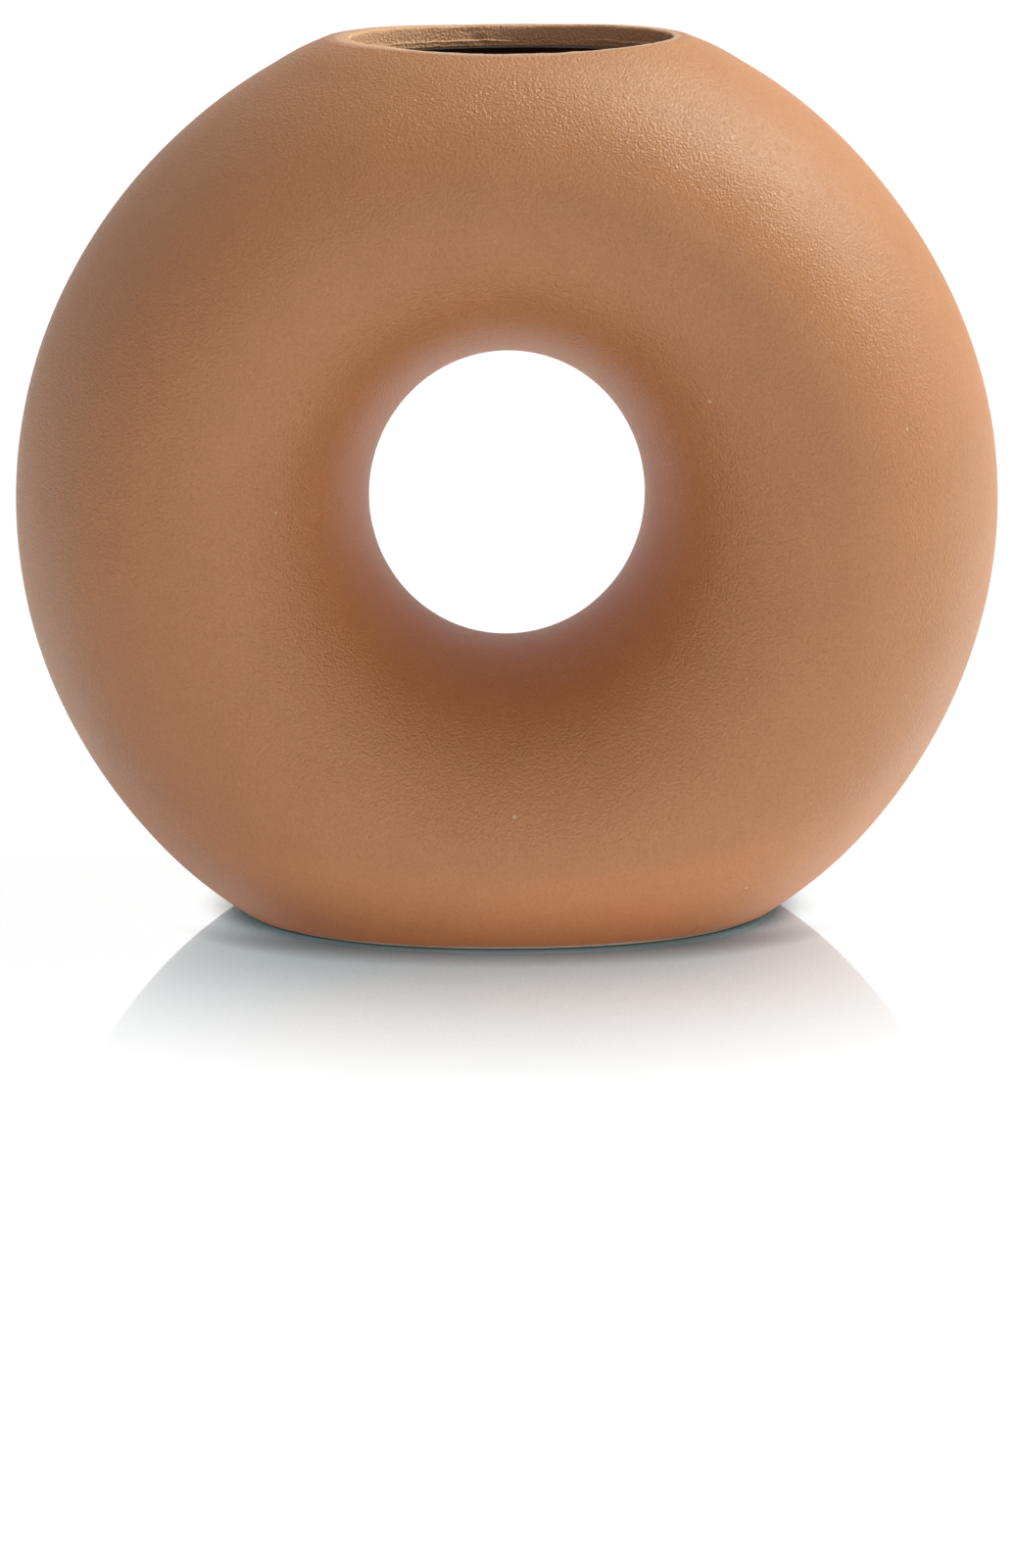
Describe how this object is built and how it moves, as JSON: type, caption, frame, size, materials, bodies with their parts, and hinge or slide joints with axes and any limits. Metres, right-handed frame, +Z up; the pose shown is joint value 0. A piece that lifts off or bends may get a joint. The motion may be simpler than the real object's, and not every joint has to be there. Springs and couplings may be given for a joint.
{
  "type": "vase",
  "caption": "Ring-shaped ceramic flower vase that stands on edge, with an oval mouth cut across its top, a round hole through its middle and a flat oval foot.",
  "frame": {"origin": "on the table, under the centre of the ring", "axes": "+Z up, +X along the width of the ring, +Y along its depth, through the hole; the pictured side faces -Y"},
  "size_m": [0.27, 0.114, 0.243],
  "materials": {
    "bare_clay": "dry fired stoneware, pale and slightly gritty",
    "tan_glaze": "satin tan glaze with a fine pebbled texture",
    "liner_glaze": "smooth brown liner glaze, semi-gloss"
  },
  "bodies": {
    "root": {"clay_body": "bare_clay", "outer_glaze": "tan_glaze", "liner_glaze": "liner_glaze"}
  },
  "joints": []
}
